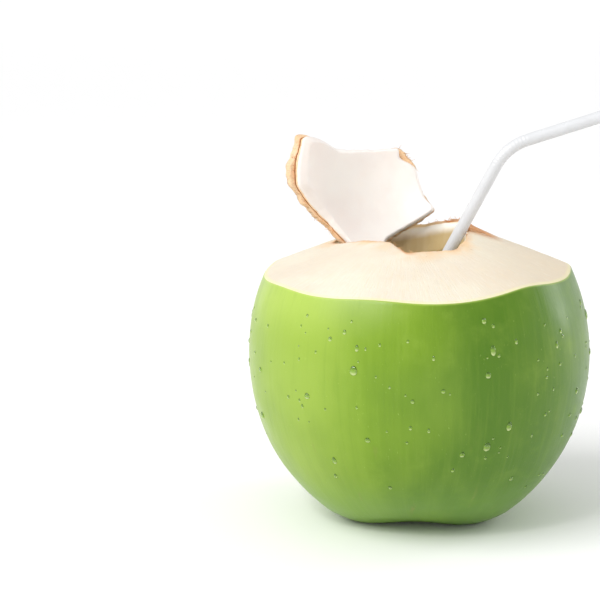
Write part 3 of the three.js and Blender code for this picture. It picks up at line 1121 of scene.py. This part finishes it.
def lid_fibres():
    """The lid's fibres, as strand() takes them: most are at its thick end."""
    strands = []
    for _ in range(LID_FIBRES):
        place = random.choice(LID_FIBRE_PLACES)
        angle = math.radians(place + random.uniform(-FIBRE_SPREAD, FIBRE_SPREAD))
        reach = outline_reach(LID_CORNERS, (0.0, 0.0), np.array([angle]), FIBRE_SOFTENING)[0] - 0.6
        u, v = reach * math.cos(angle), reach * math.sin(angle)
        depth = random.uniform(0.66, 0.92) * lid_thickness(u, v)
        root = Vector(lid_place(u, v, depth))
        further = Vector(lid_place(u * (1 + NEARBY), v * (1 + NEARBY), depth))
        along = Vector(lid_place(u - v * NEARBY, v + u * NEARBY, depth))
        outwards, sideways = (further - root).normalized(), (along - root).normalized()
        lean = random.uniform(-1.6, 1.6)
        direction = (outwards + sideways * lean).normalized()
        bend = outwards * random.uniform(-0.3, 0.3) + UP * random.uniform(-0.25, 0.1)
        length, radius = random.uniform(1.2, 3.6), random.uniform(0.07, 0.16)
        strands.append((root, direction, length, radius, bend))
    return strands


def rim_fibres():
    """The fibres of the mouth's rim, as strand() takes them: most are at the back right."""
    strands = []
    for _ in range(RIM_FIBRES):
        place = random.choice(RIM_FIBRE_PLACES)
        angle = math.radians(place + random.gauss(0, FIBRE_SPREAD))
        root = Vector(mouth_rim(np.array([angle]))[0]) - UP * 0.3
        outwards = Vector((math.cos(angle), math.sin(angle), 0))
        sideways = Vector((-math.sin(angle), math.cos(angle), 0))
        direction = (UP * random.uniform(0.2, 1.0) + sideways * random.uniform(-1.4, 1.4)
                     - outwards * random.uniform(-0.4, 0.8)).normalized()
        bend = UP * random.uniform(-0.4, 0.0) + outwards * random.uniform(-0.3, 0.3)
        length, radius = random.uniform(1.0, 2.8), random.uniform(0.07, 0.15)
        strands.append((root, direction, length, radius, bend))
    return strands


# -------- stage, lights, camera, in metres

FLOOR_RADIUS = 8.0
FLOOR_SWEEP = 3.0  # radius of the curve that carries the floor's far edge up into a wall
FLOOR_SIDES = 96
SWEEP_STEPS = 16

WORLD_STRENGTH = 0.66
SUN_STRENGTH = 1.6
SUN_PLACE = Vector((-0.9, -0.55, 1.0))
SUN_ANGLE = math.radians(40)
LIGHT_TARGET = Vector((0, 0, 0.09))
# name, place, width, height, watts
LIGHTS = [
    ("key", (-0.55, -0.85, 0.75), 0.5, 0.35, 1.6),
    ("glint", (-0.35, -0.75, 0.80), 0.11, 0.11, 1.3),
    ("edge", (0.95, 0.40, 0.45), 0.16, 0.7, 2.4),
]

CAMERA_DISTANCE = 0.9
CAMERA_ELEVATION = math.radians(12.5)
CAMERA_TARGET_HEIGHT = 0.084
CAMERA_AIM = Vector((-0.0585, 0, 0.108))  # beside and above the nut, which stands right of centre
CAMERA_ROLL = math.radians(-0.73)  # keeps the nut upright although the camera looks past it
CAMERA_LENS = 108.4


def floor_mesh():
    """A wide round floor whose far edge sweeps up, so that no view shows a hard horizon."""
    points, faces = [(0, 0, 0)], []
    for step in range(SWEEP_STEPS + 1):
        climb = step / SWEEP_STEPS * math.pi / 2
        reach = FLOOR_RADIUS + FLOOR_SWEEP * math.sin(climb)
        height = FLOOR_SWEEP * (1 - math.cos(climb))
        for k in range(FLOOR_SIDES):
            a = k / FLOOR_SIDES * TURN
            points.append((reach * math.cos(a), reach * math.sin(a), height))
    for k in range(FLOOR_SIDES):
        n = (k + 1) % FLOOR_SIDES
        faces.append((0, 1 + k, 1 + n))
        for step in range(SWEEP_STEPS):
            low, high = 1 + step * FLOOR_SIDES, 1 + (step + 1) * FLOOR_SIDES
            faces.append((low + k, high + k, high + n, low + n))
    mesh = bpy.data.meshes.new("floor")
    mesh.from_pydata(points, [], faces)
    mesh.polygons.foreach_set("use_smooth", [True] * len(mesh.polygons))
    return mesh


def make_stage():
    floor = new_object("floor", floor_mesh())
    s = Shader("pale_floor")
    s.set(Base_Color=(0.97, 0.97, 0.97, 1), Roughness=0.9, Specular_IOR_Level=0.1)
    floor.data.materials.append(s.material)
    world = bpy.data.worlds.new("studio")
    world.use_nodes = True
    background = world.node_tree.nodes["Background"]
    background.inputs["Color"].default_value = (1, 1, 1, 1)
    background.inputs["Strength"].default_value = WORLD_STRENGTH
    bpy.context.scene.world = world


def facing(direction):
    """The rotation that turns a lamp or the camera, which look along -Z, to a direction."""
    return direction.to_track_quat("-Z", "Y")


def make_lights():
    sun = bpy.data.lights.new("sun", "SUN")
    sun.energy, sun.angle = SUN_STRENGTH, SUN_ANGLE
    new_object("sun", sun).rotation_euler = facing(-SUN_PLACE).to_euler()
    for name, place, width, height, watts in LIGHTS:
        data = bpy.data.lights.new(name, "AREA")
        data.shape = "RECTANGLE"
        data.size, data.size_y, data.energy = width, height, watts
        lamp = new_object(name, data)
        lamp.location = place
        lamp.rotation_euler = facing(LIGHT_TARGET - Vector(place)).to_euler()


def make_camera():
    data = bpy.data.cameras.new("camera")
    data.lens = CAMERA_LENS
    data.sensor_width = 36.0
    camera = new_object("camera", data)
    back = Vector((0, -math.cos(CAMERA_ELEVATION), math.sin(CAMERA_ELEVATION)))
    camera.location = Vector((0, 0, CAMERA_TARGET_HEIGHT)) + back * CAMERA_DISTANCE
    camera.rotation_mode = "QUATERNION"
    roll = Quaternion((0, 0, 1), CAMERA_ROLL)
    camera.rotation_quaternion = facing(CAMERA_AIM - camera.location) @ roll
    bpy.context.scene.camera = camera
    bpy.context.scene.view_settings.view_transform = "Standard"


make_camera()
make_stage()
make_lights()
nut = make_nut()
make_lid(meat_material(), nut.data.materials[SHELL])
make_straw()
make_drops()
fibre_look = fibre_strand_material()
make_fibres("lid_loose_fibres", lid_fibres(), fibre_look)
make_fibres("rim_loose_fibres", rim_fibres(), fibre_look)
